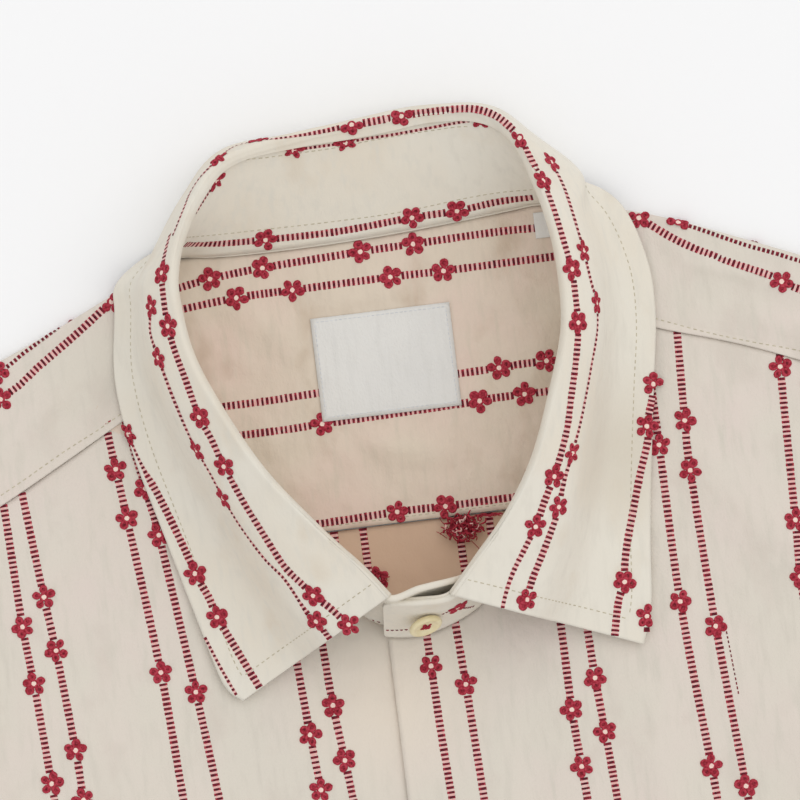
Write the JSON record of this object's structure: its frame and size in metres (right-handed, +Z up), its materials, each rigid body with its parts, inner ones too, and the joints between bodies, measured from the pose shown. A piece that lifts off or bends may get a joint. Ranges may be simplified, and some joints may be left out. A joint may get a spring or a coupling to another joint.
{
  "type": "embroidered shirt",
  "caption": "Short-sleeved cotton shirt laid flat on its back: closed turn-down collar, yoke, button front, red ladder stripes and small flowers",
  "frame": {"origin": "middle of the shirt's footprint, at the level of the surface that it lies on", "axes": "+X to the viewer's right across the shoulders, +Y from the hem towards the top of the collar, +Z up from the table"},
  "size_m": [0.8698, 0.7756, 0.0407],
  "materials": {
    "shirt_cloth": "light cream cotton, plain weave, with dark red woven ladder stripes and small raised red flowers",
    "inner_yoke_cloth": "the same cotton seen inside the neck, a little warmer and darker",
    "collar_cloth": "the same cotton, smooth over interlining, with a stitched edge",
    "white_tape": "white woven tape, bare, stitched round its edge",
    "button": "cream, softly glossy, sewn on with red thread"
  },
  "bodies": {
    "root": {"back": "shirt_cloth", "yoke": "shirt_cloth", "yoke_lining": "inner_yoke_cloth", "front_left": "shirt_cloth", "front_right": "shirt_cloth", "sleeve_left": "shirt_cloth", "sleeve_right": "shirt_cloth", "collar_stand": "collar_cloth", "collar_leaf": "collar_cloth", "label": "white_tape", "size_tab": "white_tape", "button_collar": "button", "button_1": "button", "button_2": "button", "button_3": "button", "button_4": "button", "button_5": "button", "button_6": "button"}
  },
  "joints": []
}
